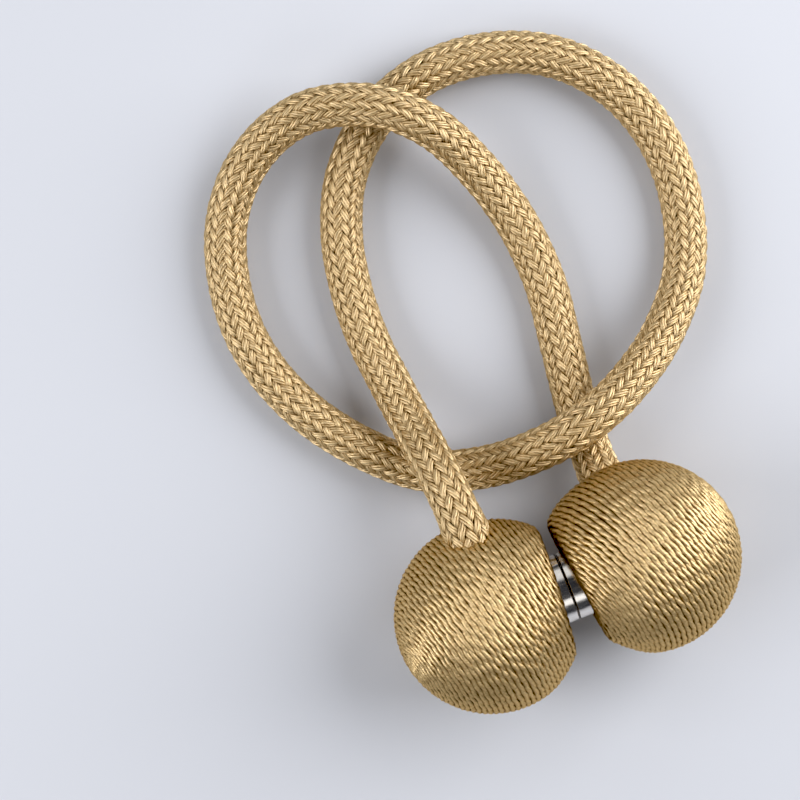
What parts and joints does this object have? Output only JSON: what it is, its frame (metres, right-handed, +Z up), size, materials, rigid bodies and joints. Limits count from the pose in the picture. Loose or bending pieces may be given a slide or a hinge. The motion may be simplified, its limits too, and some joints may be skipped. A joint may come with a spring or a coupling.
{
  "type": "magnetic curtain tieback",
  "caption": "Braided cord with a thread-wound ball at each end; magnet discs set in the balls close it into a loop that gathers a curtain.",
  "frame": {"origin": "on the table under the clasp, midway between the two balls", "axes": "+X along the clasp from the left ball to the right one, +Y from the balls towards the loops of the cord, +Z up"},
  "size_m": [0.1062, 0.1357, 0.0396],
  "materials": {
    "cord": "silky gold braid, tubular, worked in V-shaped stitches",
    "thread": "glossy twisted gold thread, wound side by side",
    "magnet": "polished nickel plate with light scuffs"
  },
  "bodies": {
    "root": {"rope": "cord", "left_ball": "thread", "right_ball": "thread", "left_magnet": "magnet", "right_magnet": "magnet"}
  },
  "joints": []
}
